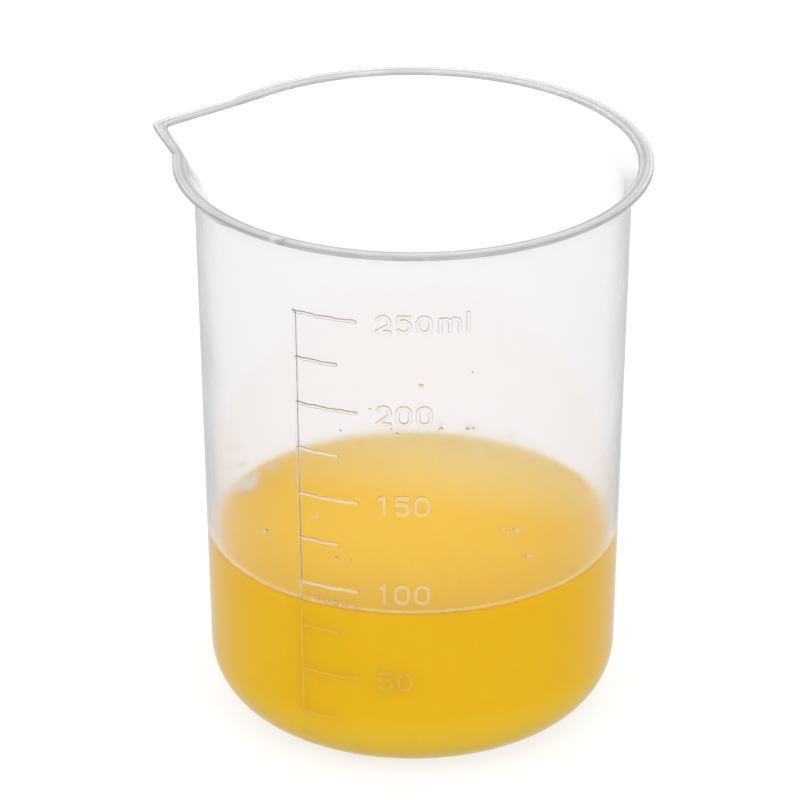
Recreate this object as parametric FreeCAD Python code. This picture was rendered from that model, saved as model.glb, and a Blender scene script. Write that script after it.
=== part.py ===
import FreeCAD, Part
import math
import os

# A 250 ml low-form polypropylene beaker with a pour spout, used to draw and look at
# a liquid sample. Millimetres. +Z up, the origin is the centre of the face it rests
# on, and the spout points along -X. The beaker is one moulding: its regions meet
# face to face, so that each has a name, a material slot and a collision budget.

# ---- driving dimensions ----
HEIGHT = 93.0            # resting face to the top of the rim
WALL_R_BASE = 32.2       # outer wall radius carried down to the resting face
WALL_R_TOP = 34.25       # outer wall radius carried up to the top of the rim
WALL = 1.1               # wall thickness
HEEL_R = 10.0            # outer radius of the rounded corner under the wall
FLOOR_TOP = 1.5          # inside floor height
RECESS_R = 20.0          # shallow recess inside the foot ring
RECESS_DEPTH = 0.4
GATE_R = 1.6             # moulding gate mark in the middle of the recess
GATE_DROP = 0.25

RIM_OUTER_R = 37.5
RIM_INNER_R = 35.9
RIM_THICK = 0.9
FLARE_START = 87.0       # height where the wall starts to flare to the rim
COLLAR_START = 78.0      # bottom of the wall band that carries the flare

SPOUT_AT = 180.0         # azimuth of the spout, degrees from +X
SPOUT_TIP_R = 41.85      # inner edge of the spout's tip, in the plane of the rim
SPOUT_SIDE_SLOPE = 1.4   # half width gained per millimetre back from the tip
SPOUT_LOW_Z = 79.5       # where the keel of the spout runs out into the wall
SPOUT_HALF_SECTOR = 21.0 # degrees each side that belong to the spout's own nodes
SPOUT_BACK = 28.0        # the channel tools end here, inside the beaker

SPINE_AT = 257.2         # azimuth of the vertical line of the scale
LONG_SWEEP = 17.3        # degrees of wall that a long mark covers
SHORT_SWEEP = 11.9
NUMERAL_AT = 279.6       # azimuth of the left edge of the numerals
MARK_PITCH = 7.77        # height of 25 ml
MARK_ZERO = 2.23         # floor plus what the rounded corner takes away
LINE_WIDTH = 0.45
LINE_RAISE = 0.25
GLYPH_RAISE = 0.25
GLYPH_STROKE = 0.55
GLYPH_HEIGHT = 3.45
GLYPH_HEIGHT_TOP = 3.1   # the numerals beside the unit are a little smaller
GLYPH_WIDTH = 2.5
GLYPH_STEP = 3.12        # centre to centre
GLYPH_STEP_ONE = 2.75    # the same after a narrow 1
GLYPH_INSET = 1.15       # left edge of the text to the centre of its first glyph

LIQUID_LEVEL = 29.6
MENISCUS_RISE = 0.6
MENISCUS_RUN = 1.4

FULL_ML = 250
STEP_ML = 25

# Bubbles afloat on the liquid: azimuth, distance from the axis, radius.
BUBBLES = [
    (168.5, 30.3, 0.7),
    (171.5, 29.9, 1.0),
    (175.0, 29.3, 0.9),
    (178.0, 30.2, 0.6),
    (159.0, 30.4, 0.7),
    (156.0, 25.0, 0.5),
    (192.0, 15.7, 0.4),
    (208.0, 23.8, 0.5),
    (245.5, 17.8, 0.45),
    (251.5, 16.3, 0.4),
    (85.5, 27.5, 0.45),
    (7.5, 15.0, 0.4),
    (8.8, 17.0, 0.45),
    (345.5, 22.0, 0.4),
    (261.5, 30.2, 0.5),
    (265.0, 30.4, 0.4),
    (269.5, 30.1, 0.55),
    (273.0, 30.4, 0.4),
    (297.5, 30.3, 0.45),
    (301.5, 30.3, 0.4),
]

# Droplets clinging to the inside of the wall: azimuth, height, radius.
DROPLETS = [
    (101.0, 31.6, 0.55),
    (92.5, 31.7, 0.6),
    (89.5, 31.5, 0.45),
    (78.5, 31.5, 0.5),
    (175.5, 36.5, 0.5),
    (172.0, 32.5, 0.6),
]


# ---- small helpers ----
def at(x, y, z=0.0):
    return FreeCAD.Vector(x, y, z)


def polar(radius, degrees, z=0.0):
    angle = math.radians(degrees)
    return at(radius * math.cos(angle), radius * math.sin(angle), z)


def outer_r(z):
    """Outer radius of the straight, drafted wall at height z."""
    return WALL_R_BASE + (WALL_R_TOP - WALL_R_BASE) * z / HEIGHT


def inner_r(z):
    return outer_r(z) - WALL


# ---- derived dimensions ----
RIM_FOOT = HEIGHT - RIM_THICK
RIM_WIDTH = RIM_OUTER_R - RIM_INNER_R
# The inside of the flare leaves the wall upright and meets the rim's inner edge.
FLARE_RISE = HEIGHT - FLARE_START
FLARE_GAIN = RIM_INNER_R - inner_r(FLARE_START)
FLARE_R = (FLARE_RISE ** 2 + FLARE_GAIN ** 2) / (2 * FLARE_GAIN)
# The keel of the spout's channel slopes down and back from the tip to the wall.
KEEL_SLOPE = (SPOUT_TIP_R - inner_r(SPOUT_LOW_Z)) / (HEIGHT - SPOUT_LOW_Z)
# Moving the channel's sides out by the wall thickness moves its tip by this much.
SIDE_NORMAL = math.sqrt(SPOUT_SIDE_SLOPE ** 2 * (1 + KEEL_SLOPE ** 2) + 1)
CHANNEL_WALL = WALL * SIDE_NORMAL / SPOUT_SIDE_SLOPE
# Moving the rim's edge out by the rim's width moves the rim's tip by this much.
RIM_TIP_SHIFT = RIM_WIDTH * math.sqrt(SPOUT_SIDE_SLOPE ** 2 + 1) / SPOUT_SIDE_SLOPE
# The channel tools stop just above the foot of the collar, inside the plain wall.
CHANNEL_LOW = COLLAR_START + 0.1
ABOVE = HEIGHT + 5.0


def line(r0, z0, r1, z1):
    return Part.makeLine(at(r0, 0, z0), at(r1, 0, z1))


def arc(centre, radius, start, end):
    """Arc in the XZ plane, angles in degrees from +X towards +Z."""
    points = []
    for angle in (start, (start + end) / 2, end):
        turn = math.radians(angle)
        points.append(at(centre[0] + radius * math.cos(turn), 0, centre[1] + radius * math.sin(turn)))
    return Part.Arc(*points).toShape()


def revolved(edges, sweep=360.0, start=0.0):
    face = Part.Face(Part.Wire(edges))
    solid = face.revolve(at(0, 0), at(0, 0, 1), sweep)
    solid.rotate(at(0, 0), at(0, 0, 1), start)
    return solid


def slab(low, high):
    """Everything near the beaker between two heights."""
    return Part.makeCylinder(2 * HEIGHT, high - low, at(0, 0, low))


def spout_sector():
    """A wedge of space about the spout, its edge on the beaker's axis."""
    reach = 2 * HEIGHT
    left = polar(reach, SPOUT_AT - SPOUT_HALF_SECTOR)
    right = polar(reach, SPOUT_AT + SPOUT_HALF_SECTOR)
    face = Part.Face(Part.makePolygon([at(0, 0), left, right, at(0, 0)]))
    return face.extrude(at(0, 0, 2 * HEIGHT))


# ---- the moulding as an outer form and a cavity ----
def heel_centre(radius_at_floor, floor_z, corner_r):
    """Centre of a corner arc that touches the floor and the straight wall."""
    centre_z = floor_z + corner_r
    slope = (WALL_R_TOP - WALL_R_BASE) / HEIGHT
    centre_r = radius_at_floor + slope * centre_z - corner_r * math.sqrt(1 + slope * slope)
    return centre_r, centre_z


def heel_edges(radius_at_floor, floor_z, corner_r):
    """Floor line, corner arc, and the point where the wall leaves the arc."""
    centre = heel_centre(radius_at_floor, floor_z, corner_r)
    lean = math.degrees(math.atan((WALL_R_TOP - WALL_R_BASE) / HEIGHT))
    edge = arc(centre, corner_r, -90, -lean)
    end_r = centre[0] + corner_r * math.cos(math.radians(lean))
    end_z = centre[1] - corner_r * math.sin(math.radians(lean))
    return centre[0], edge, end_r, end_z


def flare_arc(curve_r, top_z):
    """The outward curve at the top of one side of the wall, up to a height."""
    centre = (inner_r(FLARE_START) + FLARE_R, FLARE_START)
    end = 180.0 - math.degrees(math.asin((top_z - FLARE_START) / curve_r))
    edge = arc(centre, curve_r, 180.0, end)
    end_r = centre[0] + curve_r * math.cos(math.radians(end))
    return edge, end_r


def outer_form():
    """The beaker filled solid, below the rim's flange."""
    floor_end, corner, wall_r, wall_z = heel_edges(WALL_R_BASE, 0.0, HEEL_R)
    flare, flare_r = flare_arc(FLARE_R - WALL, RIM_FOOT)
    edges = [
        line(0, RECESS_DEPTH, RECESS_R, RECESS_DEPTH),
        line(RECESS_R, RECESS_DEPTH, RECESS_R + RECESS_DEPTH, 0),
        line(RECESS_R + RECESS_DEPTH, 0, floor_end, 0),
        corner,
        line(wall_r, wall_z, outer_r(FLARE_START), FLARE_START),
        flare,
        line(flare_r, RIM_FOOT, 0, RIM_FOOT),
        line(0, RIM_FOOT, 0, RECESS_DEPTH),
    ]
    return revolved(edges)


def cavity_form():
    """The room inside, carried on above the rim."""
    floor_end, corner, wall_r, wall_z = heel_edges(WALL_R_BASE - WALL, FLOOR_TOP, HEEL_R - WALL)
    flare, flare_r = flare_arc(FLARE_R, HEIGHT)
    edges = [
        line(0, FLOOR_TOP, floor_end, FLOOR_TOP),
        corner,
        line(wall_r, wall_z, inner_r(FLARE_START), FLARE_START),
        flare,
        line(flare_r, HEIGHT, flare_r, ABOVE),
        line(flare_r, ABOVE, 0, ABOVE),
        line(0, ABOVE, 0, FLOOR_TOP),
    ]
    return revolved(edges)


def vee(tip_r, z):
    """Horizontal section of the spout's channel: a triangle with its tip at tip_r."""
    half = (tip_r - SPOUT_BACK) * SPOUT_SIDE_SLOPE
    corners = [at(tip_r, 0, z), at(SPOUT_BACK, half, z), at(SPOUT_BACK, -half, z), at(tip_r, 0, z)]
    wire = Part.makePolygon(corners)
    wire.rotate(at(0, 0), at(0, 0, 1), SPOUT_AT)
    return wire


def channel(tip_r, low, high):
    """A three-sided beak whose keel slopes down and back to the wall."""
    sections = [vee(tip_r - KEEL_SLOPE * (HEIGHT - z), z) for z in (low, high)]
    return Part.makeLoft(sections, True, True)


def flange():
    """The flat turned-out rim, round the mouth and round the spout."""
    ring = Part.makeCylinder(RIM_OUTER_R, RIM_THICK, at(0, 0, RIM_FOOT))
    beak = Part.Face(vee(SPOUT_TIP_R + RIM_TIP_SHIFT, RIM_FOOT)).extrude(at(0, 0, RIM_THICK))
    return ring.fuse(beak)


def moulding():
    outside = outer_form().fuse(channel(SPOUT_TIP_R + CHANNEL_WALL, CHANNEL_LOW, RIM_FOOT))
    outside = outside.fuse(flange())
    inside = cavity_form().fuse(channel(SPOUT_TIP_R, CHANNEL_LOW, ABOVE))
    return outside.cut(inside).removeSplitter()


def moulding_regions():
    """The moulding cut into its named regions."""
    shell = moulding()
    sector = spout_sector()
    floor_r, _, _, heel_top = heel_edges(WALL_R_BASE, 0.0, HEEL_R)
    floor_zone = Part.makeCylinder(floor_r, FLOOR_TOP + 1, at(0, 0, -1))
    collar_zone = slab(COLLAR_START, RIM_FOOT)
    rim_zone = slab(RIM_FOOT, ABOVE)
    collar = shell.common(collar_zone)
    rim = shell.common(rim_zone)
    return {
        "floor_disc": shell.common(floor_zone),
        "rounded_heel": shell.common(slab(-1, heel_top)).cut(floor_zone),
        "side_wall": shell.common(slab(heel_top, COLLAR_START)),
        "flared_collar": collar.cut(sector),
        "pour_spout": collar.common(sector),
        "rim_flange": rim.cut(sector),
        "spout_rim": rim.common(sector),
    }


def gate_mark():
    """The small disc left by the moulding gate, inside the recess under the floor."""
    return Part.makeCylinder(GATE_R, GATE_DROP, at(0, 0, RECESS_DEPTH - GATE_DROP))


# ---- the raised scale ----
def mark_height(millilitres):
    return MARK_ZERO + MARK_PITCH * millilitres / STEP_ML


def scale_spine():
    """Half-round vertical bead that joins the marks."""
    low = mark_height(STEP_ML)
    high = mark_height(FULL_ML) - LINE_WIDTH / 2
    bead_r = (LINE_WIDTH ** 2 / 4 + LINE_RAISE ** 2) / (2 * LINE_RAISE)
    sink = bead_r - LINE_RAISE
    foot = polar(outer_r(low) - sink, SPINE_AT, low)
    head = polar(outer_r(high) - sink, SPINE_AT, high)
    bead = Part.makeCylinder(bead_r, (head - foot).Length, foot, head - foot)
    return bead.cut(outer_form())


def scale_mark(millilitres):
    """Half-round horizontal bead. Every second mark is long."""
    z = mark_height(millilitres)
    low = z - LINE_WIDTH / 2
    high = z + LINE_WIDTH / 2
    bead = Part.Arc(at(outer_r(low), 0, low), at(outer_r(z) + LINE_RAISE, 0, z), at(outer_r(high), 0, high))
    half_line = math.degrees(LINE_WIDTH / 2 / outer_r(z))
    sweep = LONG_SWEEP if millilitres % (2 * STEP_ML) == 0 else SHORT_SWEEP
    start = SPINE_AT + half_line
    if millilitres == FULL_ML:
        start = SPINE_AT - 2 * half_line
    end = SPINE_AT + sweep
    edges = [bead.toShape(), line(outer_r(high), high, outer_r(low), low)]
    return revolved(edges, end - start, start)


def stroke_line(start, end, depth):
    """Round-ended pen stroke in the XY plane, extruded along +Z."""
    half = GLYPH_STROKE / 2
    run = at(end[0] - start[0], end[1] - start[1])
    side = at(-run.y, run.x)
    side.multiply(half / run.Length)
    p = at(*start)
    q = at(*end)
    bar = Part.Face(Part.makePolygon([p + side, q + side, q - side, p - side, p + side]))
    shape = bar.extrude(at(0, 0, depth))
    for point in (p, q):
        shape = shape.fuse(Part.makeCylinder(half, depth, point))
    return shape


def stroke_arc(centre, radius, start, end, depth):
    """Round-ended curved pen stroke, anticlockwise from start to end in degrees."""
    half = GLYPH_STROKE / 2
    middle = at(*centre)
    up = at(0, 0, 1)
    shape = Part.makeCylinder(radius + half, depth, middle, up, end - start)
    shape = shape.cut(Part.makeCylinder(radius - half, depth, middle, up, 360))
    shape.rotate(middle, up, start)
    for angle in (start, end):
        tip = middle + polar(radius, angle)
        shape = shape.fuse(Part.makeCylinder(half, depth, tip))
    return shape


def glyph_strokes(glyph, height):
    """Centre lines of one glyph, its middle at the origin: lines and arcs."""
    top = (height - GLYPH_STROKE) / 2
    side = (GLYPH_WIDTH - GLYPH_STROKE) / 2
    if glyph == "0":
        straight = top - side
        return [
            ("arc", (0, straight), side, 0, 180),
            ("arc", (0, -straight), side, 180, 360),
            ("line", (side, -straight), (side, straight)),
            ("line", (-side, -straight), (-side, straight)),
        ]
    if glyph == "1":
        return [
            ("line", (0, -top), (0, top)),
            ("line", (-0.8 * side, top - 0.45 * side), (0, top)),
        ]
    if glyph == "2":
        bowl = 0.95 * side
        turn = -38
        leave = (bowl * math.cos(math.radians(turn)), top - bowl + bowl * math.sin(math.radians(turn)))
        return [
            ("arc", (0, top - bowl), bowl, turn, 160),
            ("line", leave, (-side, -top)),
            ("line", (-side, -top), (side, -top)),
        ]
    if glyph == "5":
        bowl = 0.98 * side
        turn = 142
        join = (bowl * math.cos(math.radians(turn)), -top + bowl + bowl * math.sin(math.radians(turn)))
        return [
            ("line", (-0.8 * side, top), (0.9 * side, top)),
            ("line", (-0.8 * side, top), join),
            ("arc", (0, -top + bowl), bowl, -142, turn),
        ]
    if glyph == "m":
        arch = 0.75
        crown = top - 0.45 - arch
        return [
            ("arc", (-arch, crown), arch, 0, 180),
            ("arc", (arch, crown), arch, 0, 180),
            ("line", (-2 * arch, -top), (-2 * arch, crown + arch)),
            ("line", (0, -top), (0, crown)),
            ("line", (2 * arch, -top), (2 * arch, crown)),
        ]
    return [("line", (0, -top + 0.2), (0, top + 0.35))]


def glyph_prism(glyph, height, azimuth, z):
    """One glyph pushed through the wall at its place, facing outwards."""
    depth = 2.0
    shape = None
    for stroke in glyph_strokes(glyph, height):
        piece = stroke_arc(*stroke[1:], depth) if stroke[0] == "arc" else stroke_line(*stroke[1:], depth)
        shape = piece if shape is None else shape.fuse(piece)
    # Local X runs to the right round the wall, local Y up, local Z outwards.
    outward = polar(1, azimuth)
    right = at(-outward.y, outward.x)
    origin = polar(outer_r(z) - depth / 2, azimuth, z)
    axes = FreeCAD.Matrix(
        right.x, 0, outward.x, origin.x,
        right.y, 0, outward.y, origin.y,
        0, 1, 0, origin.z,
        0, 0, 0, 1)
    return shape.removeSplitter().transformGeometry(axes)


def wall_skin(low, high):
    """The thin layer over the outside of the wall that raised lettering fills."""
    edges = [
        line(outer_r(low), low, outer_r(low) + GLYPH_RAISE, low),
        line(outer_r(low) + GLYPH_RAISE, low, outer_r(high) + GLYPH_RAISE, high),
        line(outer_r(high) + GLYPH_RAISE, high, outer_r(high), high),
        line(outer_r(high), high, outer_r(low), low),
    ]
    return revolved(edges)


def raised_text(glyphs, millilitres, first, height):
    """Raised glyphs in a row; first is the arc from the text's left edge to glyph one."""
    z = mark_height(millilitres)
    skin = wall_skin(z - height, z + height)
    run = first
    solids = []
    for glyph, step in glyphs:
        azimuth = NUMERAL_AT + math.degrees(run / outer_r(z))
        letter = glyph_prism(glyph, height, azimuth, z).common(skin)
        solids.extend(letter.Solids)
        run += step
    return Part.makeCompound(solids)


def numeral(millilitres):
    height = GLYPH_HEIGHT_TOP if millilitres == FULL_ML else GLYPH_HEIGHT
    digits = [(d, GLYPH_STEP_ONE if d == "1" else GLYPH_STEP) for d in str(millilitres)]
    return raised_text(digits, millilitres, GLYPH_INSET, height)


def unit_ml():
    """The unit beside the top numeral."""
    first = GLYPH_INSET + 3 * GLYPH_STEP + 0.85
    return raised_text([("m", 2.85), ("l", 0)], FULL_ML, first, GLYPH_HEIGHT_TOP)


# ---- the contents ----
def liquid():
    """The sample, with its surface drawn up a little where it meets the wall."""
    floor_end, corner, wall_r, wall_z = heel_edges(WALL_R_BASE - WALL, FLOOR_TOP, HEEL_R - WALL)
    edge_z = LIQUID_LEVEL + MENISCUS_RISE
    edge_r = inner_r(edge_z)
    flat_r = edge_r - MENISCUS_RUN
    middle = at(edge_r - 0.4 * MENISCUS_RUN, 0, LIQUID_LEVEL + 0.22 * MENISCUS_RISE)
    meniscus = Part.Arc(at(flat_r, 0, LIQUID_LEVEL), middle, at(edge_r, 0, edge_z)).toShape()
    edges = [
        line(0, FLOOR_TOP, floor_end, FLOOR_TOP),
        corner,
        line(wall_r, wall_z, edge_r, edge_z),
        meniscus,
        line(flat_r, LIQUID_LEVEL, 0, LIQUID_LEVEL),
        line(0, LIQUID_LEVEL, 0, FLOOR_TOP),
    ]
    return revolved(edges)


def surface_bubbles():
    """Small domes of froth and single bubbles, standing on the liquid."""
    body = liquid()
    solids = []
    for azimuth, distance, radius in BUBBLES:
        ball = Part.makeSphere(radius, polar(distance, azimuth, LIQUID_LEVEL))
        solids.extend(ball.cut(body).Solids)
    return Part.makeCompound(solids)


def wall_droplets():
    """Drops left on the inside of the wall above the surface."""
    room = cavity_form()
    solids = []
    for azimuth, z, radius in DROPLETS:
        ball = Part.makeSphere(radius, polar(inner_r(z), azimuth, z))
        solids.extend(ball.common(room).Solids)
    return Part.makeCompound(solids)


# ---- write the nodes ----
def nodes():
    found = dict(moulding_regions())
    found["gate_mark"] = gate_mark()
    found["scale_spine"] = scale_spine()
    for millilitres in range(STEP_ML, FULL_ML + 1, STEP_ML):
        found["mark_%03d" % millilitres] = scale_mark(millilitres)
    for millilitres in range(2 * STEP_ML, FULL_ML + 1, 2 * STEP_ML):
        found["numeral_%03d" % millilitres] = numeral(millilitres)
    found["unit_ml"] = unit_ml()
    found["liquid_sample"] = liquid()
    found["surface_bubbles"] = surface_bubbles()
    found["wall_droplets"] = wall_droplets()
    return found


os.makedirs("parts", exist_ok=True)
for name, shape in nodes().items():
    if not shape.isValid() or not shape.Solids:
        raise SystemExit("bad shape: " + name)
    shape.exportStep("parts/%s.step" % name)
    print("%-18s solids %2d  volume %9.2f mm3" % (name, len(shape.Solids), shape.Volume))
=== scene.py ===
import math

import bpy
import numpy as np
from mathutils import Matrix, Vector


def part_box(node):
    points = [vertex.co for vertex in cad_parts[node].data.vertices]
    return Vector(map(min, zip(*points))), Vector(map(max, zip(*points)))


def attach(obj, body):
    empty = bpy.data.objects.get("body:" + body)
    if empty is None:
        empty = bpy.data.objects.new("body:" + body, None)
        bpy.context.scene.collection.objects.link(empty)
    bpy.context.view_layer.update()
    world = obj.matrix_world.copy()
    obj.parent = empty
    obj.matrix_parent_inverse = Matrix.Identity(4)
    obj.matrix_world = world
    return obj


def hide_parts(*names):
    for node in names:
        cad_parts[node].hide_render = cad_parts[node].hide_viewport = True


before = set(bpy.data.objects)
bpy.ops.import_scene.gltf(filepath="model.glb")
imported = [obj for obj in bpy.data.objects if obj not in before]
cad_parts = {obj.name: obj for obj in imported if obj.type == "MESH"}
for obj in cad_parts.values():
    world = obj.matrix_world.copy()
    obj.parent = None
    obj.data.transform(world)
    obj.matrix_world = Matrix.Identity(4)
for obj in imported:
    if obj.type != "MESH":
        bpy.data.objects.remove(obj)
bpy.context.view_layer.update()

# A graduated polypropylene beaker, about a third full of a cloudy yellow liquid.
# Shapes are worked out in millimetres and turned into metres when a mesh is made.
# Azimuths are in degrees from +X; the spout points along -X.
MM = 0.001


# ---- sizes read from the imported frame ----
def box_low(node):
    """Lowest corner of a CAD node's box, in millimetres."""
    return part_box(node)[0] / MM


def box_high(node):
    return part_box(node)[1] / MM


def mark_height(millilitres):
    node = "mark_%03d" % millilitres
    return (box_low(node).z + box_high(node).z) / 2


STEP_ML = 25
LONG_STEP_ML = 50
FULL_ML = 250

HEIGHT = box_high("rim_flange").z
RIM_FOOT = box_low("rim_flange").z
RIM_OUTER_R = box_high("rim_flange").x
SPOUT_REACH = -box_low("spout_rim").x
HEEL_TOP = box_low("side_wall").z
WALL_TOP = box_high("side_wall").z
WALL_R_AT_TOP = box_high("side_wall").x
HEEL_R_AT_TOP = box_high("rounded_heel").x
FLOOR_TOP = box_high("floor_disc").z
LIQUID_TOP = box_high("liquid_sample").z
SPINE_FOOT = box_low("scale_spine").z
SPINE_HEAD = box_high("scale_spine").z
MARK_Z = {m: mark_height(m) for m in range(STEP_ML, FULL_ML + 1, STEP_ML)}

# ---- sizes of the moulding that the boxes don't give ----
WALL = 1.1
HEEL_R = 10.0
RECESS_R = 20.0
RECESS_DEPTH = 0.4
GATE_DROP = 0.25
RIM_INNER_R = 35.9
WALL_WAVE = 0.015          # unevenness of the wall, and of the rim
RIM_WAVE = 0.012
FLARE_START = 87.0
SPOUT_AT = 180.0
SPOUT_SIDE_SLOPE = 1.4     # half width gained per millimetre back from the tip
FAR_SIDE_SLOPE = 1.58      # the side away from the scale runs straighter into the wall
SPOUT_LOW_Z = 79.5
SPOUT_ROOT_BLEND = 0.4     # rounding where the spout's sides leave the round wall
ROOT_BLEND_GAIN = 0.3      # how much that grows for each millimetre below the rim
ROOT_BLEND_GAIN_MAX = 3.0
SPOUT_TIP_BLEND = 0.012    # rounding of the tip, as a share of its distance from the axis
SPOUT_FADE = 35.0          # degrees from the spout's axis where its sides stop mattering
SPOUT_FALL_AT = 25.0       # beyond here the sides fall back inside the wall
SPOUT_FALL = 0.25          # millimetres for each degree

WALL_SLOPE = (WALL_R_AT_TOP - HEEL_R_AT_TOP) / (WALL_TOP - HEEL_TOP)


def outer_r(z):
    """Outer radius of the straight, drafted wall at height z."""
    return HEEL_R_AT_TOP + WALL_SLOPE * (z - HEEL_TOP)


def inner_r(z):
    return outer_r(z) - WALL


RIM_WIDTH = RIM_OUTER_R - RIM_INNER_R
TIP_PER_OFFSET = math.sqrt(SPOUT_SIDE_SLOPE ** 2 + 1) / SPOUT_SIDE_SLOPE
SPOUT_TIP_R = SPOUT_REACH - RIM_WIDTH * TIP_PER_OFFSET
KEEL_SLOPE = (SPOUT_TIP_R - inner_r(SPOUT_LOW_Z)) / (HEIGHT - SPOUT_LOW_Z)
CHANNEL_WALL = WALL * math.sqrt(SPOUT_SIDE_SLOPE ** 2 * (1 + KEEL_SLOPE ** 2) + 1) / SPOUT_SIDE_SLOPE
FLARE_GAIN = RIM_INNER_R - inner_r(FLARE_START)
FLARE_R = ((HEIGHT - FLARE_START) ** 2 + FLARE_GAIN ** 2) / (2 * FLARE_GAIN)


# ---- mesh helpers ----
def new_object(name, vertices, faces, material, replaced):
    """A finished piece, from points in millimetres."""
    mesh = bpy.data.meshes.new(name)
    mesh.from_pydata((np.asarray(vertices) * MM).tolist(), [], [list(f) for f in faces])
    mesh.validate()
    mesh.shade_smooth()
    mesh.materials.append(material)
    piece = bpy.data.objects.new(name, mesh)
    bpy.context.scene.collection.objects.link(piece)
    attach(piece, "root")
    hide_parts(*replaced)
    return piece


def add_values(piece, name, values):
    """One number per point of the mesh, for the material to read."""
    piece.data.attributes.new(name, "FLOAT", "POINT").data.foreach_set("value", values)


def smooth_max(a, b, k):
    h = np.clip(0.5 + 0.5 * (a - b) / k, 0.0, 1.0)
    return b + (a - b) * h + k * h * (1 - h)


def steps(*stretches):
    """Angles from 0 to 180, each stretch (end, step), mirrored to the other side."""
    side = [0.0]
    start = 0.0
    for end, step in stretches:
        count = round((end - start) / step)
        side.extend(start + (end - start) * (i + 1) / count for i in range(count))
        start = end
    side = np.array(side)
    return np.concatenate([side, -side[1:-1][::-1]])


def circled(radii, z, angles):
    """Points of one ring. The angles count from the spout's axis."""
    turn = np.radians(angles + SPOUT_AT)
    return np.stack([radii * np.cos(turn), radii * np.sin(turn), z], 1).tolist()


def spun(rings, angles, plan):
    """Vertices and faces of a closed body spun about Z. A ring starts with its radius and
    height, and plan gives its radii. The first and last rings are poles on the axis."""
    count = len(angles)
    vertices = [(0.0, 0.0, rings[0][1])]
    for ring in rings[1:-1]:
        vertices.extend(circled(plan(ring, angles), np.full(count, ring[1]), angles))
    vertices.append((0.0, 0.0, rings[-1][1]))
    last = len(vertices) - 1
    base = last - count
    faces = []
    for j in range(count):
        k = (j + 1) % count
        faces.append((0, 1 + k, 1 + j))
        for a in range(1, base, count):
            b = a + count
            faces.append((a + j, a + k, b + k, b + j))
        faces.append((base + j, base + k, last))
    return vertices, faces


def tube_faces(ring_count, count):
    """Faces of a ring-shaped body whose profile is closed."""
    faces = []
    for i in range(ring_count):
        a = i * count
        b = (i + 1) % ring_count * count
        for j in range(count):
            k = (j + 1) % count
            faces.append((a + j, b + j, b + k, a + k))
    return faces


def joined(parts):
    """One body from several: points, faces, and any list of values per point."""
    vertices = []
    faces = []
    values = []
    for part in parts:
        base = len(vertices)
        vertices.extend(np.asarray(part[0]).tolist())
        faces.extend([tuple(i + base for i in f) for f in part[1]])
        values.extend(part[2] if len(part) > 2 else [])
    return vertices, faces, values


# ---- the moulding ----
def wall_flow(turn, z):
    """Slow unevenness of the moulded wall, about one high or low. turn is from the spout."""
    flow = np.sin(3 * turn + 0.6 + z * 0.031) + 0.6 * np.sin(7 * turn + 2.1 - z * 0.047)
    return flow + 0.5 * np.sin(13 * turn + 0.4 + z * 0.11) + 0.35 * np.sin(22 * turn + 1.7 - z * 0.06)


def spout_plan(ring, angles):
    """Radii of one ring: a circle, drawn out to a vee at the spout."""
    radius, z, tip, wave = ring
    away = np.abs(angles)
    off = np.radians(np.minimum(away, SPOUT_FADE))
    sharp = np.sqrt(np.sin(off) ** 2 + SPOUT_TIP_BLEND ** 2)
    slope = SPOUT_SIDE_SLOPE + (FAR_SIDE_SLOPE - SPOUT_SIDE_SLOPE) * np.clip(-angles, 0, 1)
    vee = slope * tip / (sharp + slope * np.cos(off))
    vee = vee - SPOUT_FALL * np.maximum(away - SPOUT_FALL_AT, 0)
    blend = SPOUT_ROOT_BLEND + min(ROOT_BLEND_GAIN * (HEIGHT - z), ROOT_BLEND_GAIN_MAX)
    round_wall = np.full(len(angles), radius)
    return smooth_max(round_wall, vee, blend) + wave * wall_flow(np.radians(angles), z)


def keel(z, thickness):
    """Radius of the spout's lowest line at height z, inside or outside its wall."""
    return SPOUT_TIP_R - KEEL_SLOPE * (HEIGHT - z) + thickness


def corner_profile(radius_at_floor, floor_z, corner_r, count):
    """The rounded corner from the floor up to the straight wall."""
    centre_z = floor_z + corner_r
    centre_r = radius_at_floor + WALL_SLOPE * centre_z - corner_r * math.sqrt(1 + WALL_SLOPE ** 2)
    lean = math.atan(WALL_SLOPE)
    found = []
    for i in range(count + 1):
        angle = -math.pi / 2 + (math.pi / 2 - lean) * i / count
        found.append((centre_r + corner_r * math.cos(angle), centre_z + corner_r * math.sin(angle)))
    return found


def flare_profile(curve_r, top_z, count):
    """The outward curve, from the straight wall up to top_z."""
    centre_r = inner_r(FLARE_START) + FLARE_R
    sweep = math.asin((top_z - FLARE_START) / curve_r)
    found = []
    for i in range(count + 1):
        angle = sweep * i / count
        found.append((centre_r - curve_r * math.cos(angle), FLARE_START + curve_r * math.sin(angle)))
    return found


def wall_profile(radius_at, low, high, count):
    """The straight wall, its ends left out."""
    heights = [low + (high - low) * (i + 1) / (count + 1) for i in range(count)]
    return [(radius_at(z), z) for z in heights]


SPOUT_RINGS_FROM = SPOUT_LOW_Z - 3.0
LOWER_RINGS = 34
UPPER_RINGS = 13
FLARE_RINGS = 9
RECESS_EDGE = ((-0.15, 0.4), (0.0, 0.4), (0.2, 0.22), (0.42, 0.03), (0.6, 0.0))
GATE_PROFILE = ((0.5, -0.75), (0.9, -1.0), (1.25, -1.0), (1.5, -0.6), (1.65, 0.0))


def underside_rings():
    """The gate mark, the shallow recess and its edge, out to the ring it rests on."""
    found = [(0, RECESS_DEPTH - GATE_DROP * 0.6)]
    found += [(r, RECESS_DEPTH + GATE_DROP * drop) for r, drop in GATE_PROFILE]
    found += [(r, RECESS_DEPTH) for r in (3.0, 8.0, 14.0)]
    found += [(RECESS_R + out, z) for out, z in RECESS_EDGE]
    return [(r, z, 0, 0) for r, z in found]


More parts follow.
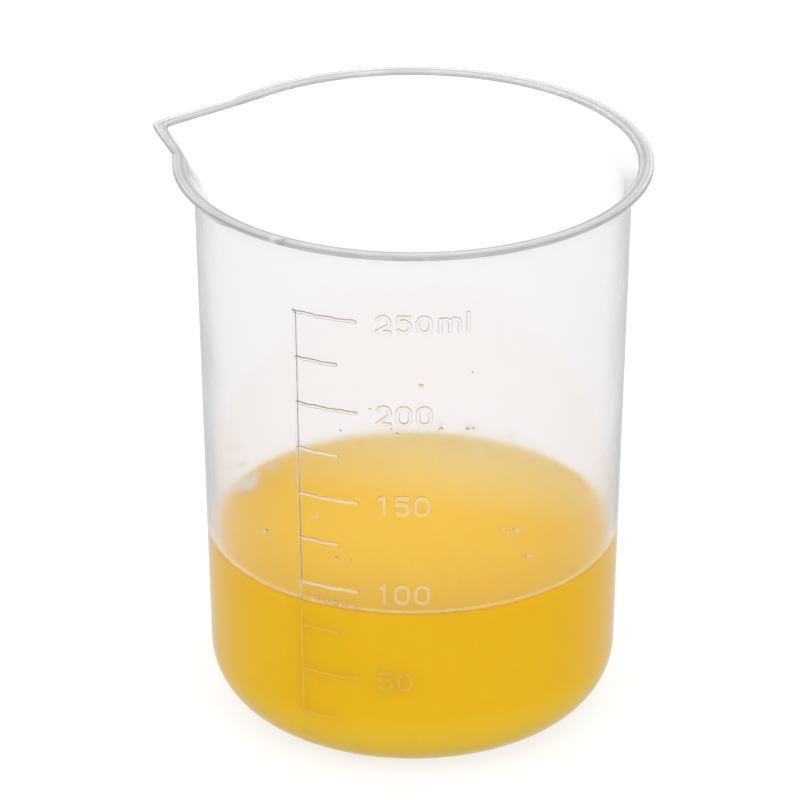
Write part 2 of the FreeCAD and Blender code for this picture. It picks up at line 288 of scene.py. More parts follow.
def side_rings(profile, thickness):
    """Rings of the wall, which carry the spout's keel. The rounded corner is even."""
    return [(r, z, keel(z, thickness), WALL_WAVE if z > HEEL_R else 0.0) for r, z in profile]


def beaker_rings():
    """Closed profile of the wall and floor, its top edge hidden inside the rim."""
    base_r = outer_r(0.0)
    outside = corner_profile(base_r, 0.0, HEEL_R, 18)
    outside += wall_profile(outer_r, outside[-1][1], SPOUT_RINGS_FROM, LOWER_RINGS)
    outside += wall_profile(outer_r, SPOUT_RINGS_FROM, FLARE_START, UPPER_RINGS)
    outside += flare_profile(FLARE_R - WALL, RIM_FOOT + 0.25, FLARE_RINGS)
    inside = corner_profile(base_r - WALL, FLOOR_TOP, HEEL_R - WALL, 16)
    inside += wall_profile(inner_r, inside[-1][1], SPOUT_RINGS_FROM, LOWER_RINGS)
    inside += wall_profile(inner_r, SPOUT_RINGS_FROM, FLARE_START, UPPER_RINGS)
    inside += flare_profile(FLARE_R, HEIGHT - 0.3, FLARE_RINGS)
    floor = [(r, FLOOR_TOP, 0, 0) for r in (16.0, 8.0, 2.0, 0)]
    return underside_rings() + side_rings(outside, CHANNEL_WALL) + side_rings(inside[::-1], 0.0) + floor


def make_beaker(material):
    angles = steps((1.0, 0.125), (6.0, 0.3125), (32.0, 0.5), (180.0, 1.48))
    vertices, faces = spun(beaker_rings(), angles, spout_plan)
    replaced = ["floor_disc", "rounded_heel", "side_wall", "flared_collar", "pour_spout", "gate_mark"]
    new_object("beaker_moulding", vertices, faces, material, replaced)


# ---- the rolled rim ----
# Nicks: where, how wide in degrees, and how far the rim is pushed out or in; a nick that stands out also
# gets a painted highlight, and one that goes in gets painted shade.
RIM_NICKS = ((74.6, 0.8, 0.45), (76.9, 0.8, -0.4), (112.0, 0.5, 0.1), (-108.0, 0.7, 0.12))
ROOT_STEP = 0.35           # the flange stands out this much more than the spout's own rim
NEAR_ROOT_AT = 17.3
FAR_ROOT_AT = 22.5
FLASH_AT = 55.0            # a fin of moulding flash hangs from the rim here, and is painted lighter
FLASH_SPREAD = 4.6
FLASH_DROP = 0.4

# Profile of the rim: how far out from its inner edge, how far above or below its crest or
# its foot, and the painted light there: a painted highlight along the crest, painted shade at the lip
# and the outer edge, lighter and darker bands between.
RIM_TOP = (
    (-0.72, -0.75, 0.0), (-0.78, -0.67, 0.0), (-0.65, -0.53, 0.12), (-0.44, -0.34, 0.4),
    (-0.24, -0.19, 0.5), (0.0, -0.12, 0.35), (0.14, -0.12, 0.42), (0.3, -0.15, 0.42),
    (0.42, -0.13, 0.5), (0.5, -0.04, 0.85), (0.6, 0.0, 1.0), (0.7, -0.01, 1.0), (0.8, -0.07, 0.75),
    (0.92, -0.16, 0.6), (1.1, -0.19, 0.62), (1.3, -0.2, 0.62), (1.44, -0.22, 0.45),
    (1.54, -0.28, 0.1), (1.59, -0.38, 0.0), (RIM_WIDTH, -0.5, 0.4),
)
RIM_UNDERSIDE = (
    (RIM_WIDTH, 0.22, 0.75), (1.585, 0.1, 0.3), (1.52, 0.03, 0.0), (1.4, 0.0, 0.1), (1.1, 0.0, 0.4),
    (0.8, -0.01, 0.5), (0.5, 0.02, 0.5), (0.2, 0.05, 0.5), (-0.3, 0.1, 0.3),
)


def nick_push(angles):
    total = np.zeros(len(angles))
    for at, spread, size in RIM_NICKS:
        off = (angles - at + 180) % 360 - 180
        total = total + size * np.exp(-(off / spread) ** 2)
    return total


def beside_root(angles):
    """One where the spout's rim meets the flange, fading towards the spout's tip."""
    root = np.where(angles < 0, FAR_ROOT_AT, NEAR_ROOT_AT)
    away = np.abs(angles)
    return np.clip((root - away) / 0.8, 0, 1) * np.clip((away - 4) / 12, 0, 1)


def rim_band(offset, level, painted_light_level, angles):
    """Radii, heights and painted light and shade of one ring of the rim."""
    tip = SPOUT_TIP_R + offset * TIP_PER_OFFSET
    if offset < 0 and level > RIM_FOOT + 0.11:
        tip = keel(level, -0.05)
    outwards = np.clip((offset - 0.3) / 0.8, 0, 1)
    nicks = nick_push(angles) * outwards
    radii = spout_plan((RIM_INNER_R + offset, level, tip, RIM_WAVE), angles)
    radii = radii + nicks - ROOT_STEP * beside_root(angles) * outwards
    z = level + 0.5 * nicks
    # Painted light: the profile's painted highlight and shade, lighter where a nick stands out and along
    # the flash.
    rim_painted_light = painted_light_level + 1.5 * nicks
    if level < RIM_FOOT + 0.15 and offset > 1.3:
        flash = np.exp(-((angles - FLASH_AT) / FLASH_SPREAD) ** 4)
        z = z - FLASH_DROP * flash
        rim_painted_light = rim_painted_light + flash
    return radii, z, rim_painted_light


def make_rim(material):
    """The milky rim, one closed ring: inner lip, crest, outer band and underside."""
    angles = steps((1.0, 0.125), (6.0, 0.3125), (32.0, 0.5), (180.0, 1.0))
    profile = [(offset, HEIGHT + rise, painted_light_level) for offset, rise, painted_light_level in RIM_TOP]
    profile += [(offset, RIM_FOOT + rise, painted_light_level) for offset, rise, painted_light_level in RIM_UNDERSIDE]
    vertices = []
    rim_painted_lights = []
    for offset, level, painted_light_level in profile:
        radii, z, rim_painted_light = rim_band(offset, level, painted_light_level, angles)
        vertices.extend(circled(radii, z, angles))
        rim_painted_lights.extend(rim_painted_light.tolist())
    faces = tube_faces(len(profile), len(angles))
    rim = new_object("rolled_rim", vertices, faces, material, ["rim_flange", "spout_rim"])
    add_values(rim, "rim_painted_light", rim_painted_lights)


# ---- the raised scale ----
LINE_WIDTH = 0.4
LINE_RAISE = 0.11
LINE_WANDER = 0.05
SHOULDER = 0.09            # how wide the rounded edge of a raised stroke is
SHOULDER_PAINT_REACH = 1.6        # how much further in than the shoulder the painted edge shade and highlight reach
STROKE_SPILL = 0.03        # how far a stroke's foot spreads past its width
SPINE_WIDTH = 0.34
SPINE_RAISE = 0.1
GLYPH_RAISE = 0.12
FAINT_BELOW_Z = 28.0       # the lowest marks are worn nearly flat
FAINT_FADE = 1.5
FAINT_RAISE = 0.015
GLYPH_STROKE = 0.55
GLYPH_HEIGHT = 3.45
GLYPH_HEIGHT_TOP = 3.1     # the numerals beside the unit are a little smaller
GLYPH_WIDTH = 2.5
GLYPH_STEP = 3.12
GLYPH_STEP_ONE = 2.75
GLYPH_INSET = 1.15
UNIT_GAP = 0.85
UNIT_STEP = 2.85
NUMERAL_AT = 279.6
SPINE_AT = 257.2
LONG_SWEEP = 17.3
SHORT_SWEEP = 11.9
SINK = 0.03                # how far raised pieces reach into the wall


def line_distance(u, v, start, end):
    run = np.array([end[0] - start[0], end[1] - start[1]])
    along = ((u - start[0]) * run[0] + (v - start[1]) * run[1]) / (run @ run)
    along = np.clip(along, 0, 1)
    return np.hypot(u - start[0] - along * run[0], v - start[1] - along * run[1])


def arc_distance(u, v, centre, radius, start, end):
    """Distance to an arc that runs anticlockwise from start to end, in degrees."""
    x = u - centre[0]
    y = v - centre[1]
    middle = (start + end) / 2
    half = (end - start) / 2
    off = (np.degrees(np.arctan2(y, x)) - middle + 180) % 360 - 180
    near = np.radians(middle + np.clip(off, -half, half))
    return np.hypot(x - radius * np.cos(near), y - radius * np.sin(near))


def stroke_distance(u, v, strokes):
    found = np.full(u.shape, 1e9)
    for stroke in strokes:
        reach = arc_distance if stroke[0] == "arc" else line_distance
        found = np.minimum(found, reach(u, v, *stroke[1:]))
    return found


def zero_strokes(top, side):
    straight = top - side
    return [
        ("arc", (0, straight), side, 0, 180),
        ("arc", (0, -straight), side, 180, 360),
        ("line", (side, -straight), (side, straight)),
        ("line", (-side, -straight), (-side, straight)),
    ]


def one_strokes(top, side):
    return [("line", (0, -top), (0, top)), ("line", (-0.8 * side, top - 0.45 * side), (0, top))]


def two_strokes(top, side):
    bowl = 0.95 * side
    turn = math.radians(-38)
    leave = (bowl * math.cos(turn), top - bowl + bowl * math.sin(turn))
    return [
        ("arc", (0, top - bowl), bowl, -38, 160),
        ("line", leave, (-side, -top)),
        ("line", (-side, -top), (side, -top)),
    ]


def five_strokes(top, side):
    bowl = 0.98 * side
    turn = math.radians(142)
    join = (bowl * math.cos(turn), -top + bowl + bowl * math.sin(turn))
    return [
        ("line", (-0.8 * side, top), (0.9 * side, top)),
        ("line", (-0.8 * side, top), join),
        ("arc", (0, -top + bowl), bowl, -142, 142),
    ]


def m_strokes(top, side):
    arch = 0.75
    crown = top - 0.45 - arch
    return [
        ("arc", (-arch, crown), arch, 0, 180),
        ("arc", (arch, crown), arch, 0, 180),
        ("line", (-2 * arch, -top), (-2 * arch, crown + arch)),
        ("line", (0, -top), (0, crown)),
        ("line", (2 * arch, -top), (2 * arch, crown)),
    ]


def l_strokes(top, side):
    return [("line", (0, -top + 0.2), (0, top + 0.35))]


GLYPHS = {
    "0": zero_strokes, "1": one_strokes, "2": two_strokes, "5": five_strokes,
    "m": m_strokes, "l": l_strokes,
}


def glyph_strokes(glyph, height):
    """Centre lines of one glyph, its middle at the origin: lines and arcs."""
    return GLYPHS[glyph]((height - GLYPH_STROKE) / 2, (GLYPH_WIDTH - GLYPH_STROKE) / 2)


def stroke_grid(strokes, width, cell_u, cell_v):
    """A grid along and up the wall that covers the strokes."""
    spread = width + max([s[2] for s in strokes if s[0] == "arc"] + [0])
    points = []
    for stroke in strokes:
        points.extend(stroke[1:3] if stroke[0] == "line" else stroke[1:2])
    low = np.min(points, axis=0) - spread
    high = np.max(points, axis=0) + spread
    sides = []
    for start, end, cell in zip(low, high, (cell_u, cell_v)):
        sides.append(np.linspace(start, end, max(2, int(round((end - start) / cell))) + 1))
    return np.meshgrid(*sides, indexing="ij")


def raised_height(inside, raise_by):
    """Height of a moulded stroke above the wall: a flat top and narrow rounded shoulders."""
    share = np.clip(inside / SHOULDER, 0, 1)
    return -SINK + (raise_by + SINK) * share * share * (3 - 2 * share)


def on_wall(azimuth, z, u, v, radial, wander):
    """Points on the outside of the wall, u along it and v up it from a given place."""
    turn = math.radians(azimuth) + u / outer_r(z)
    level = z + v + wander * (np.sin(u * 1.7 + z) + 0.5 * np.sin(u * 3.9 + 2 * z))
    radius = outer_r(level) + radial + WALL_WAVE * wall_flow(turn - math.radians(SPOUT_AT), level)
    return np.stack([radius * np.cos(turn), radius * np.sin(turn), level], 1)


def corners_used(cell, shape):
    """Which points of the grid are a corner of a kept cell."""
    used = np.zeros(shape, bool)
    for di in (0, 1):
        for dj in (0, 1):
            used[di:di + cell.shape[0], dj:dj + cell.shape[1]] |= cell
    return used


def slab_faces(cell, used):
    """Faces of a closed slab over the kept cells: its top, its underside and its edge."""
    total = int(used.sum())
    index = np.full(used.shape, -1)
    index[used] = np.arange(total)
    padded = np.pad(cell, 1)
    faces = []
    for i, j in np.argwhere(cell):
        a, b, c, d = (int(index[i + di, j + dj]) for di, dj in ((0, 0), (1, 0), (1, 1), (0, 1)))
        faces.append((a, b, c, d))
        faces.append((d + total, c + total, b + total, a + total))
        beyond = (padded[i + 1, j], padded[i + 2, j + 1], padded[i + 1, j + 2], padded[i, j + 1])
        for covered, (p, q) in zip(beyond, ((a, b), (b, c), (c, d), (d, a))):
            if not covered:
                faces.append((p, p + total, q + total, q))
    return faces


def relief(strokes, width, raise_by, azimuth, z, cell_u, cell_v, wander=0.0):
    """One closed raised shape on the wall: points, faces, and how deep in its rounded
    shoulder each point lies."""
    u, v = stroke_grid(strokes, width, cell_u, cell_v)
    inside = width / 2 + STROKE_SPILL - stroke_distance(u, v, strokes)
    near = inside > -0.7 * max(cell_u, cell_v)
    cell = near[:-1, :-1] & near[1:, :-1] & near[:-1, 1:] & near[1:, 1:]
    used = corners_used(cell, u.shape)
    unworn = np.clip((z + v - FAINT_BELOW_Z) / FAINT_FADE, 0, 1)
    height = raised_height(inside, FAINT_RAISE + (raise_by - FAINT_RAISE) * unworn)
    shoulder = np.clip(1 - inside / (SHOULDER_PAINT_REACH * SHOULDER), 0, 1)
    top = on_wall(azimuth, z, u[used], v[used], height[used], wander)
    underside = on_wall(azimuth, z, u[used], v[used], -SINK - 0.03, wander)
    values = shoulder[used].tolist() + [0.0] * len(underside)
    return np.concatenate([top, underside]), slab_faces(cell, used), values


def raised_piece(name, body, material, node):
    vertices, faces, values = body
    piece = new_object(name, vertices, faces, material, [node])
    add_values(piece, "shoulder", values)


def make_mark(millilitres, material):
    """A raised line along the wall. Every second mark is long."""
    z = MARK_Z[millilitres]
    sweep = LONG_SWEEP if millilitres % LONG_STEP_ML == 0 else SHORT_SWEEP
    end = math.radians(sweep) * outer_r(z) - LINE_WIDTH / 2
    start = -0.35 if millilitres == FULL_ML else 0.12
    strokes = [("line", (start, 0), (end, 0))]
    body = relief(strokes, LINE_WIDTH, LINE_RAISE, SPINE_AT, z, 0.12, 0.03, LINE_WANDER)
    node = "mark_%03d" % millilitres
    raised_piece(node + "_bead", body, material, node)


def make_spine(name, low, high, material):
    middle = (low + high) / 2
    strokes = [("line", (0, low - middle), (0, high - middle))]
    body = relief(strokes, SPINE_WIDTH, SPINE_RAISE, SPINE_AT, middle, 0.03, 0.25)
    raised_piece(name, body, material, "scale_spine")


def make_text(node, glyphs, millilitres, first, height, material):
    """Glyphs side by side on the wall. Each one is (glyph, distance to the next)."""
    z = MARK_Z[millilitres]
    run = first
    parts = []
    for glyph, step in glyphs:
        azimuth = NUMERAL_AT + math.degrees(run / outer_r(z))
        strokes = glyph_strokes(glyph, height)
        parts.append(relief(strokes, GLYPH_STROKE, GLYPH_RAISE, azimuth, z, 0.035, 0.035))
        run += step
    raised_piece(node + "_relief", joined(parts), material, node)


def make_scale(lines, numerals, wet, spine):
    """The scale. The liquid stands behind the lowest marks and hides their edges."""
    make_spine("scale_spine_foot", SPINE_FOOT, LIQUID_TOP, wet)
    make_spine("scale_spine_bead", LIQUID_TOP, SPINE_HEAD, spine)
    for millilitres, z in MARK_Z.items():
        make_mark(millilitres, lines if z > FAINT_BELOW_Z else wet)
    for millilitres in range(LONG_STEP_ML, FULL_ML + 1, LONG_STEP_ML):
        height = GLYPH_HEIGHT_TOP if millilitres == FULL_ML else GLYPH_HEIGHT
        digits = [(d, GLYPH_STEP_ONE if d == "1" else GLYPH_STEP) for d in str(millilitres)]
        material = numerals if MARK_Z[millilitres] > FAINT_BELOW_Z else wet
        make_text("numeral_%03d" % millilitres, digits, millilitres, GLYPH_INSET, height, material)
    first = GLYPH_INSET + 3 * GLYPH_STEP + UNIT_GAP
    make_text("unit_ml", [("m", UNIT_STEP), ("l", 0)], FULL_ML, first, GLYPH_HEIGHT_TOP, numerals)


# ---- the contents ----
MENISCUS_RISE = 0.6
MENISCUS_FALL = 0.55       # how fast the climb dies away from the wall
MENISCUS_RUNS = (0.08, 0.16, 0.28, 0.42, 0.6, 0.85, 1.15, 1.55, 2.1, 2.8, 3.8)
WET = 0.08                 # the liquid reaches this far into the wall, so no air lies between
LIQUID_LEVEL = LIQUID_TOP - MENISCUS_RISE


def round_plan(ring, angles):
    return np.full(len(angles), ring[0])


def liquid_r(z):
    return inner_r(z) + WET


def meniscus(run):
    """Height of the surface, run millimetres in from the liquid's edge."""
    return LIQUID_LEVEL + MENISCUS_RISE * math.exp(-(run - WET) / MENISCUS_FALL)


def make_liquid(material):
    base_r = outer_r(0.0) - WALL + WET
    edge = liquid_r(LIQUID_TOP)
    rings = [(r, FLOOR_TOP - WET) for r in (0, 6.0, 14.0)]
    rings += corner_profile(base_r, FLOOR_TOP - WET, HEEL_R - WALL + WET, 18)
    rings += wall_profile(liquid_r, rings[-1][1], LIQUID_TOP, 14)
    rings.append((edge, LIQUID_TOP))
    rings += [(edge - run, meniscus(run)) for run in MENISCUS_RUNS]
    rings += [(r, LIQUID_LEVEL) for r in (24.0, 16.0, 8.0, 3.0, 0)]
    vertices, faces = spun(rings, steps((180.0, 1.5)), round_plan)
    new_object("liquid_body", vertices, faces, material, ["liquid_sample"])


# Azimuth, distance from the axis, radius.
BUBBLES = [
    (168.5, 30.3, 0.7), (171.5, 29.9, 1.0), (175.0, 29.3, 0.9), (178.0, 30.2, 0.6),
    (173.2, 30.9, 0.7), (176.6, 30.8, 0.65), (170.0, 31.0, 0.45), (166.2, 30.9, 0.5), (180.4, 30.8, 0.4),
    (159.0, 30.4, 0.7), (161.0, 30.9, 0.45), (156.0, 25.0, 0.4), (192.0, 15.7, 0.3), (208.0, 23.8, 0.4),
    (85.5, 27.5, 0.4), (7.5, 15.0, 0.3), (8.8, 17.0, 0.35), (345.5, 22.0, 0.3),
    (20.0, 30.9, 0.4), (24.5, 30.9, 0.5), (28.0, 31.0, 0.35), (35.0, 30.9, 0.4),
]

# Azimuth, height on the wall, radius.
DROPLETS = [
    (101.0, 31.6, 0.55), (92.5, 31.7, 0.6), (89.5, 31.5, 0.45), (78.5, 31.5, 0.5),
    (175.5, 36.5, 0.5), (172.0, 32.5, 0.6), (181.0, 34.0, 0.4),
    (261.6, 30.6, 0.5), (264.6, 30.5, 0.42), (267.4, 30.3, 0.55), (270.2, 30.2, 0.4), (273.4, 30.0, 0.5),
    (275.4, 29.9, 0.3), (297.5, 29.9, 0.4), (301.5, 30.0, 0.35), (303.6, 30.0, 0.25),
    (267.7, 38.4, 0.32), (271.8, 38.4, 0.24), (244.7, 39.6, 0.3), (261.0, 45.0, 0.22),
    (315.6, 42.6, 0.22), (318.0, 42.6, 0.18), (322.0, 37.2, 0.2), (296.7, 61.8, 0.34),
    (304.0, 61.4, 0.34), (305.6, 61.4, 0.28), (291.4, 69.3, 0.38), (277.7, 65.0, 0.22),
    (285.0, 61.0, 0.3), (283.4, 61.8, 0.2), (269.4, 60.7, 0.25), (305.2, 71.0, 0.2),
]

SMALL_BODY_STEPS = steps((180.0, 15.0))
BUBBLE_FILM = 0.07
DROP_FLATNESS = 0.16
DROP_TOP = 0.85            # a drop is drawn in above its middle and fuller below
DROP_FOOT = 1.25


def quarter(count):
    """Sine and cosine from just off the pole down to the equator."""
    turns = [math.pi / 2 * (i + 1) / count for i in range(count)]
    return [(math.sin(a), math.cos(a)) for a in turns]


def dome(radius):
    """A thin-walled half bubble standing on the liquid, closed along its foot."""
    foot = -0.12 * radius
    hollow = radius - BUBBLE_FILM
    rings = [(0, radius)]
    rings += [(radius * s, radius * c) for s, c in quarter(8)]
    rings += [(radius, foot), (hollow, foot)]
    rings += [(hollow * s, hollow * c) for s, c in quarter(8)[::-1]]
    rings.append((0, hollow))
    vertices, faces = spun(rings, SMALL_BODY_STEPS, round_plan)
    return np.array(vertices), [f[::-1] for f in faces]


def polar(radius, azimuth, z):
    turn = math.radians(azimuth)
    return np.array([radius * math.cos(turn), radius * math.sin(turn), z])


def make_bubbles(material):
    parts = []
    for azimuth, distance, radius in BUBBLES:
        vertices, faces = dome(radius)
        parts.append((vertices + polar(distance, azimuth, LIQUID_LEVEL), faces))
    vertices, faces, _ = joined(parts)
    new_object("surface_froth", vertices, faces, material, ["surface_bubbles"])


def drop(azimuth, z, radius):
    """A flattened drop clinging to the inside of the wall, fuller towards its foot."""
    rings = [(0, DROP_FLATNESS * radius)]
    rings += [(radius * s, DROP_FLATNESS * radius * c) for s, c in quarter(7)]
    rings += [(radius * 0.9, -WET), (0, -WET)]
    vertices, faces = spun(rings, SMALL_BODY_STEPS, round_plan)
    vertices = np.array(vertices)
    vertices[:, 2] *= np.where(vertices[:, 0] < 0, DROP_FOOT, DROP_TOP)
    inwards = -polar(1.0, azimuth, 0.0)
    up = np.array([0, 0, 1.0])
    side = np.cross(inwards, up)
    placed = vertices[:, :1] * up + vertices[:, 1:2] * side + vertices[:, 2:] * inwards
    return placed + polar(inner_r(z), azimuth, z), [f[::-1] for f in faces]


def make_droplets(material):
    vertices, faces, _ = joined([drop(*place) for place in DROPLETS])
    new_object("clinging_drops", vertices, faces, material, ["wall_droplets"])


# ---- material helpers ----
def node_material(name):
    material = bpy.data.materials.new(name)
    material.use_nodes = True
    tree = material.node_tree
    return material, tree.nodes, tree.links, tree.nodes["Principled BSDF"]


def ramp_value(nodes, links, source, low, high, from_low=0.3, from_high=0.7):
    span = nodes.new("ShaderNodeMapRange")
    span.inputs["From Min"].default_value = from_low
    span.inputs["From Max"].default_value = from_high
    span.inputs["To Min"].default_value = low
    span.inputs["To Max"].default_value = high
    links.new(source, span.inputs["Value"])
    return span.outputs["Result"]


def calculated(nodes, links, operation, a, b):
    both = nodes.new("ShaderNodeMath")
    both.operation = operation
    links.new(a, both.inputs[0])
    links.new(b, both.inputs[1])
    return both.outputs["Value"]


def mixed(nodes, links, factor, a, b):
    """A colour between a and b, each of them a colour or another node's output."""
    mix = nodes.new("ShaderNodeMix")
    mix.data_type = "RGBA"
    links.new(factor, mix.inputs["Factor"])
    for name, value in (("A", a), ("B", b)):
        if isinstance(value, tuple):
            mix.inputs[name].default_value = (*value, 1)
        else:
            links.new(value, mix.inputs[name])
    return mix.outputs["Result"]


def noise(nodes, links, scale, detail=3.0):
    texture = nodes.new("ShaderNodeTexNoise")
    texture.inputs["Scale"].default_value = scale
    texture.inputs["Detail"].default_value = detail
    place = nodes.new("ShaderNodeTexCoord")
    links.new(place.outputs["Object"], texture.inputs["Vector"])
    return texture.outputs["Fac"]


def position(nodes, links):
    """X, Y and Z in the part's own frame, in metres."""
    place = nodes.new("ShaderNodeTexCoord")
    parts = nodes.new("ShaderNodeSeparateXYZ")
    links.new(place.outputs["Object"], parts.inputs["Vector"])
    return parts.outputs


def mesh_value(nodes, name):
    found = nodes.new("ShaderNodeAttribute")
    found.attribute_name = name
    return found.outputs["Fac"]


def bumped(nodes, links, shader, source, strength, distance):
    bump = nodes.new("ShaderNodeBump")
    bump.inputs["Strength"].default_value = strength
    bump.inputs["Distance"].default_value = distance
    links.new(source, bump.inputs["Height"])
    links.new(bump.outputs["Normal"], shader.inputs["Normal"])


def clear_material(name, colour, ior, clearness, patch_scale, roughness):
    """A clear or half clear plastic or liquid, its gloss a little patchy."""
    material, nodes, links, shader = node_material(name)
    shader.inputs["Base Color"].default_value = (*colour, 1)
    shader.inputs["IOR"].default_value = ior
    shader.inputs["Transmission Weight"].default_value = clearness
    patchy = noise(nodes, links, patch_scale)
    links.new(ramp_value(nodes, links, patchy, *roughness), shader.inputs["Roughness"])
    return material, nodes, links, shader


# ---- materials ----
PLASTIC_IOR = 1.49
LIQUID_IOR = 1.34
GRAIN_DEPTH = 0.00002
CLEAR = (1.0, 1.0, 1.0)
PAINTED_EDGE_SHADE_ABOVE = (0.058, 0.062)    # the shoulders of raised strokes go from a cream painted highlight to a grey painted shade between these heights, in metres


def polypropylene():
    colour = (0.937, 0.924, 0.936)
    look = clear_material("natural_polypropylene", colour, PLASTIC_IOR, 1.0, 60.0, (0.08, 0.13))
    material, nodes, links, shader = look
    bumped(nodes, links, shader, noise(nodes, links, 900.0, 2.0), 0.15, GRAIN_DEPTH)
    return material


def raised_polypropylene(name, clearness):
    """Raised strokes: their shoulders get a cream painted highlight low on the wall and a grey painted
    shade high on it.
    """
    look = clear_material(name, CLEAR, PLASTIC_IOR, clearness, 400.0, (0.06, 0.12))
    material, nodes, links, shader = look
    high = ramp_value(nodes, links, position(nodes, links)["Z"], 0.0, 1.0, *PAINTED_EDGE_SHADE_ABOVE)
    # Painted light on the shoulders: a cream painted highlight low on the wall, a grey painted shade
    # high on it.
    painted_edge_light = mixed(nodes, links, high, (1.0, 0.98, 0.94), (0.42, 0.45, 0.51))
    colour = mixed(nodes, links, mesh_value(nodes, "shoulder"), CLEAR, painted_edge_light)
    links.new(colour, shader.inputs["Base Color"])
    return material


def plain_polypropylene(name, ior):
    """Raised strokes without a visible edge of their own."""
    return clear_material(name, CLEAR, ior, 1.0, 400.0, (0.08, 0.14))[0]


def milky_polypropylene():
    """The thick rim: the same plastic, deep enough to look milky, its colour greyed or lightened by the
    painted light and shade stored at each point, with random clouds.
    """
    look = clear_material("milky_polypropylene_rim", CLEAR, PLASTIC_IOR, 0.6, 300.0, (0.12, 0.22))
    material, nodes, links, shader = look
    cloud = ramp_value(nodes, links, noise(nodes, links, 130.0), -0.12, 0.12)
    rim_painted_light = calculated(nodes, links, "ADD", mesh_value(nodes, "rim_painted_light"), cloud)
    colour = mixed(nodes, links, rim_painted_light, (0.5, 0.49, 0.515), (0.95, 0.935, 0.925))
    links.new(colour, shader.inputs["Base Color"])
    bumped(nodes, links, shader, noise(nodes, links, 1200.0, 2.0), 0.2, GRAIN_DEPTH)
    return material


def liquid_colour(nodes, links, clouds, open_surface):
    """Deep yellow through the wall, paler at the bottom. The open surface is painted darker and more
    orange than the body as painted shade, and paler towards its far side;
    a cream painted highlight lies where the surface climbs the near wall."""
    place = position(nodes, links)
    level = LIQUID_LEVEL * MM
    cloudy = ramp_value(nodes, links, clouds, 0.0, 1.0)
    body = mixed(nodes, links, cloudy, (0.97, 0.61, 0.0), (0.96, 0.63, 0.004))
    settled = ramp_value(nodes, links, place["Z"], 1.0, 0.0, 0.002, 0.011)
    body = mixed(nodes, links, settled, body, (0.97, 0.69, 0.07))
    far = ramp_value(nodes, links, place["Y"], 0.0, 1.0, 0.006, 0.036)
    # Painted shade: the open surface is darker and more orange than the body, growing paler towards the
    # far side.
    top = mixed(nodes, links, far, (0.89, 0.5, 0.01), (0.87, 0.67, 0.28))
    whole = mixed(nodes, links, open_surface, body, top)
    # Painted highlight: a cream line where the surface climbs the wall, strongest on the near side.
    climb = ramp_value(nodes, links, place["Z"], 0.0, 1.0, level + 0.00004, level + 0.0003)
    near = ramp_value(nodes, links, place["Y"], 1.0, 0.15, -0.012, 0.012)
    edge = calculated(nodes, links, "MULTIPLY", climb, near)
    return mixed(nodes, links, edge, whole, (0.99, 0.66, 0.3))


def cloudy_liquid():
    """The wetted wall hides the liquid's own gloss, so only the open surface shines."""
    material, nodes, links, shader = node_material("cloudy_yellow_liquid")
    clouds = noise(nodes, links, 45.0, 4.0)
    level = LIQUID_LEVEL * MM
    height = position(nodes, links)["Z"]
    open_surface = ramp_value(nodes, links, height, 0.0, 1.0, level - 0.0003, level - 0.0001)
    links.new(liquid_colour(nodes, links, clouds, open_surface), shader.inputs["Base Color"])
    links.new(ramp_value(nodes, links, clouds, 0.03, 0.07), shader.inputs["Roughness"])
    links.new(ramp_value(nodes, links, open_surface, 0.0, 0.27, 0.0, 1.0), shader.inputs["Coat Weight"])
    shader.inputs["IOR"].default_value = LIQUID_IOR
    shader.inputs["Specular IOR Level"].default_value = 0.0
    shader.inputs["Coat IOR"].default_value = LIQUID_IOR
    shader.inputs["Coat Roughness"].default_value = 0.04
    shader.inputs["Subsurface Weight"].default_value = 1.0
    shader.inputs["Subsurface Radius"].default_value = (1.0, 0.55, 0.08)
    shader.inputs["Subsurface Scale"].default_value = 0.002
    return material


def bubble_film():
    return clear_material("bubble_film", (0.95, 0.93, 0.86), 1.33, 0.15, 700.0, (0.1, 0.2))[0]


def clinging_liquid():
    colour = (0.98, 0.96, 0.9)
    return clear_material("clinging_liquid", colour, LIQUID_IOR, 0.95, 500.0, (0.02, 0.06))[0]


# ---- camera, floor and light ----
VIEW_AZIMUTH = 19.2
VIEW_ELEVATION = 25.63
VIEW_DISTANCE = 943.2
AIM_HEIGHT = 51.08
AIM_LEFT = 2.04            # the beaker's axis stands this far right of the middle of the view
LENS = 267.5
FLOOR_HALF = 4.0
FLOOR_DROP = 0.0001        # keeps the floor clear of the beaker's foot
TENT_ABOVE = (2.25, 1.0)   # brightness on the camera's side, and behind the object
TENT_BELOW = (0.32, 0.8)


def make_camera():
    azimuth = math.radians(VIEW_AZIMUTH)
    elevation = math.radians(VIEW_ELEVATION)
    level = math.cos(elevation)
    back = Vector((math.sin(azimuth) * level, -math.cos(azimuth) * level, math.sin(elevation)))
    right = Vector((math.cos(azimuth), math.sin(azimuth), 0))
    place = (Vector((0, 0, AIM_HEIGHT)) + back * VIEW_DISTANCE) * MM
    aim = (Vector((0, 0, AIM_HEIGHT)) - right * AIM_LEFT) * MM
    data = bpy.data.cameras.new("camera")
    data.lens = LENS
    data.sensor_width = 36.0
    data.clip_start = 0.01
    camera = bpy.data.objects.new("camera", data)
    camera.location = place
    camera.rotation_euler = (aim - place).to_track_quat("-Z", "Y").to_euler()
    bpy.context.scene.collection.objects.link(camera)
    bpy.context.scene.camera = camera


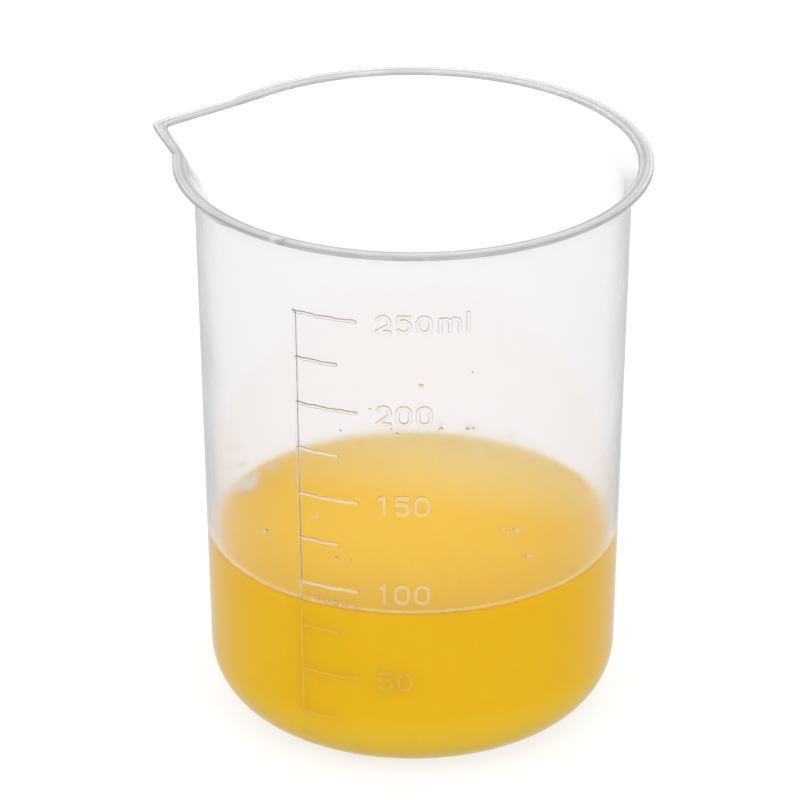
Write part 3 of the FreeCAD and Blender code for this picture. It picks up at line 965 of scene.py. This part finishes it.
def make_floor():
    """A pale floor that lights itself a little and isn't seen in reflections."""
    half = FLOOR_HALF
    corners = [(-half, -half, 0), (half, -half, 0), (half, half, 0), (-half, half, 0)]
    mesh = bpy.data.meshes.new("studio_floor")
    mesh.from_pydata(corners, [], [(0, 1, 2, 3)])
    material, nodes, links, shader = node_material("studio_floor")
    shader.inputs["Base Color"].default_value = (0.22, 0.22, 0.22, 1)
    shader.inputs["Roughness"].default_value = 0.9
    shader.inputs["Emission Color"].default_value = (1, 1, 1, 1)
    shader.inputs["Emission Strength"].default_value = 0.72
    mesh.materials.append(material)
    floor = bpy.data.objects.new("studio_floor", mesh)
    floor.location.z = -FLOOR_DROP
    bpy.context.scene.collection.objects.link(floor)
    floor.visible_glossy = False


def world_light():
    """A soft light tent: brightest on the photographer's side, dark under the table."""
    world = bpy.data.worlds.new("studio")
    world.use_nodes = True
    nodes = world.node_tree.nodes
    links = world.node_tree.links
    place = nodes.new("ShaderNodeTexCoord")
    parts = nodes.new("ShaderNodeSeparateXYZ")
    links.new(place.outputs["Generated"], parts.inputs["Vector"])
    azimuth = math.radians(VIEW_AZIMUTH)
    away = nodes.new("ShaderNodeVectorMath")
    away.operation = "DOT_PRODUCT"
    away.inputs[1].default_value = (-math.sin(azimuth), math.cos(azimuth), 0)
    links.new(place.outputs["Generated"], away.inputs[0])
    above = ramp_value(nodes, links, away.outputs["Value"], *TENT_ABOVE, -1.0, 1.0)
    below = ramp_value(nodes, links, away.outputs["Value"], *TENT_BELOW, 0.1, 1.0)
    height = ramp_value(nodes, links, parts.outputs["Z"], 0.0, 1.0, -0.1, 0.1)
    mix = nodes.new("ShaderNodeMix")
    links.new(height, mix.inputs["Factor"])
    links.new(below, mix.inputs["A"])
    links.new(above, mix.inputs["B"])
    background = nodes["Background"]
    background.inputs["Color"].default_value = (1.0, 1.0, 1.0, 1)
    links.new(mix.outputs["Result"], background.inputs["Strength"])
    bpy.context.scene.world = world


make_camera()
make_beaker(polypropylene())
make_rim(milky_polypropylene())
make_scale(
    raised_polypropylene("raised_line_polypropylene", 0.88),
    raised_polypropylene("raised_numeral_polypropylene", 0.94),
    plain_polypropylene("wetted_polypropylene", 1.22),
    plain_polypropylene("spine_polypropylene", PLASTIC_IOR),
)
make_liquid(cloudy_liquid())
make_bubbles(bubble_film())
make_droplets(clinging_liquid())
make_floor()
world_light()

scene = bpy.context.scene
scene.view_settings.view_transform = "Standard"
scene.cycles.max_bounces = 24
scene.cycles.transmission_bounces = 24
scene.cycles.transparent_max_bounces = 16
